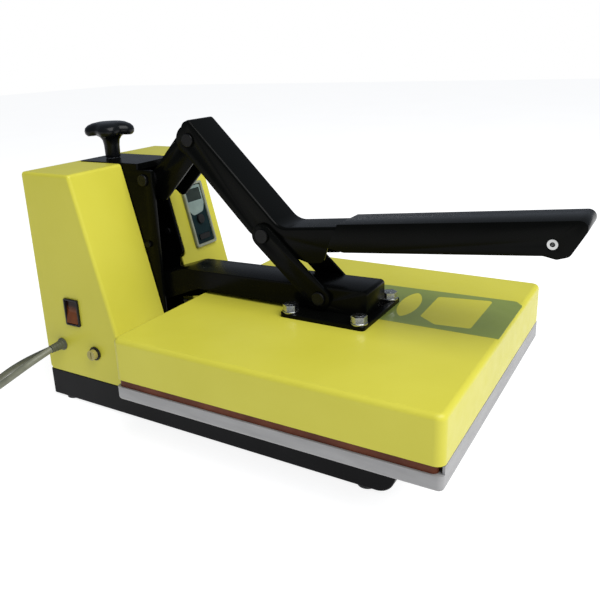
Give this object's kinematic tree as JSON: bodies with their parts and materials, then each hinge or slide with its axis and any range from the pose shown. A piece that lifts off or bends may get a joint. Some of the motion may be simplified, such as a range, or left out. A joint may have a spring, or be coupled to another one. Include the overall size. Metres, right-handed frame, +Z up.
{
  "type": "clamshell heat press",
  "caption": "Clamshell heat press with bent toggle lever, heated platen on a swing arm, padded lower platen, rear electrics housing and pressure knob.",
  "frame": {"origin": "bottom centre of the press's bounding box, on the surface it stands on, without the mains cord", "axes": "+X to the right seen from the front, +Y towards the rear housing with the handle towards -Y, +Z up"},
  "size_m": [0.425, 0.8123, 0.3831],
  "materials": {
    "yellow_paint": "gloss powder coat",
    "base_paint": "satin powder coat",
    "gloss_black_paint": "gloss black enamel",
    "tray_metal": "satin",
    "silicone": "matte",
    "foot_rubber": "matte",
    "zinc_steel": "bright zinc plated",
    "blackened_steel": "blackened and oiled",
    "bush_bronze": "turned",
    "eyelet_metal": "plated",
    "knob_plastic": "semi gloss",
    "platen_aluminium": "dark non-stick coated face",
    "element_steel": "oxidised",
    "insulation": "woven fibre",
    "sensor_ceramic": "ceramic",
    "gland_plastic": "matte",
    "panel_frame": "satin",
    "panel_label": "glossy label",
    "display_glass": "glossy window",
    "button_plastic": "semi gloss",
    "board": "coated board",
    "relay_plastic": "moulded",
    "terminal_plastic": "moulded",
    "switch_plastic": "satin",
    "rocker_plastic": "dark amber",
    "fuse_plastic": "satin",
    "fuse_cap_plastic": "semi gloss",
    "cord_jacket": "flexible jacket",
    "plug_plastic": "moulded"
  },
  "bodies": {
    "base": {"base_rail_left": "base_paint", "base_rail_right": "base_paint", "cross_tubes": "base_paint", "rubber_feet": "foot_rubber", "column_base_plate": "base_paint", "platen_supports": "base_paint", "lower_platen_tray": "tray_metal", "silicone_pad": "silicone", "column_wall_left": "gloss_black_paint", "column_wall_right": "gloss_black_paint", "column_back": "gloss_black_paint", "column_cap_plate": "gloss_black_paint", "wall_bolts": "blackened_steel", "arm_pivot_shaft": "blackened_steel", "yoke_pivot_shaft": "blackened_steel", "pivot_spacers": "blackened_steel", "housing_shell": "yellow_paint", "housing_rear_cover": "yellow_paint", "rear_cover_screws": "zinc_steel", "controller_bezel": "panel_frame", "controller_face": "panel_label", "display_window": "display_glass", "controller_case": "panel_frame", "circuit_board": "board", "solid_state_relay": "relay_plastic", "terminal_block": "terminal_plastic", "rocker_body": "switch_plastic", "fuse_holder": "fuse_plastic", "cord_gland": "gland_plastic", "cord_tube": "cord_jacket", "cord_coil": "cord_jacket", "mains_plug": "plug_plastic"},
    "pressure_knob": {"pressure_knob": "knob_plastic", "pressure_screw": "zinc_steel"},
    "head_yoke": {"head_yoke": "gloss_black_paint", "pressure_nut_block": "zinc_steel", "apex_pin": "blackened_steel"},
    "lever": {"lever_channel": "gloss_black_paint", "knee_bush": "bush_bronze", "handle_sleeve": "gloss_black_paint", "handle_eyelet": "eyelet_metal"},
    "heated_platen": {"platen_arm": "gloss_black_paint", "link_pin": "blackened_steel", "mounting_plate": "gloss_black_paint", "platen_fasteners": "zinc_steel", "platen_cover": "yellow_paint", "heat_platen": "platen_aluminium", "heating_element": "element_steel", "insulation_blanket": "insulation", "platen_spacers": "zinc_steel", "temperature_sensor": "sensor_ceramic", "platen_lead_gland": "gland_plastic"},
    "toggle_link": {"link_plate_left": "gloss_black_paint", "link_plate_right": "gloss_black_paint", "knee_pins": "blackened_steel"},
    "rocker": {"rocker": "rocker_plastic"},
    "fuse_cap": {"fuse_cap": "fuse_cap_plastic"},
    "set_button": {"set_button": "button_plastic"},
    "mode_key": {"mode_key": "button_plastic"}
  },
  "joints": [
    {"name": "pressure_adjust", "type": "hinge", "parent": "base", "child": "pressure_knob", "pos_m": [0, 0.303, 0.325], "axis": [0, 0, 1], "range_deg": [-360, 360]},
    {"name": "yoke_pivot", "type": "hinge", "parent": "base", "child": "head_yoke", "pos_m": [0, 0.215, 0.304], "axis": [1, 0, 0], "range_deg": [-1.31, 1.31]},
    {"name": "lever_swing", "type": "hinge", "parent": "head_yoke", "child": "lever", "pos_m": [0, 0.142, 0.358], "axis": [-1, 0, 0], "range_deg": [0, 70]},
    {"name": "platen_arm_pivot", "type": "hinge", "parent": "base", "child": "heated_platen", "pos_m": [0, 0.29, 0.118], "axis": [-1, 0, 0], "range_deg": [0, 26.72]},
    {"name": "link_pivot", "type": "hinge", "parent": "heated_platen", "child": "toggle_link", "pos_m": [0, -0.045, 0.1726], "axis": [1, 0, 0], "range_deg": [0, 84.29]},
    {"name": "rocker_tilt", "type": "hinge", "parent": "base", "child": "rocker", "pos_m": [-0.131, 0.277, 0.1375], "axis": [0, 1, 0], "range_deg": [0, 16]},
    {"name": "fuse_cap_twist", "type": "hinge", "parent": "base", "child": "fuse_cap", "pos_m": [-0.139, 0.243, 0.084], "axis": [1, 0, 0], "range_deg": [0, 90]},
    {"name": "set_button_press", "type": "slide", "parent": "base", "child": "set_button", "axis": [0, 0.9701, -0.2425], "range_m": [0, 0.0015], "stiffness_N_per_m": 600},
    {"name": "mode_key_press", "type": "slide", "parent": "base", "child": "mode_key", "axis": [0, 0.9701, -0.2425], "range_m": [0, 0.0008], "stiffness_N_per_m": 600}
  ],
  "couplings": [
    {"joint": "yoke_pivot", "follows": "pressure_adjust", "ratio": -0.003617},
    {"joint": "platen_arm_pivot", "follows": "lever_swing", "ratio": 0.38169},
    {"joint": "link_pivot", "follows": "lever_swing", "ratio": 1.2041}
  ]
}
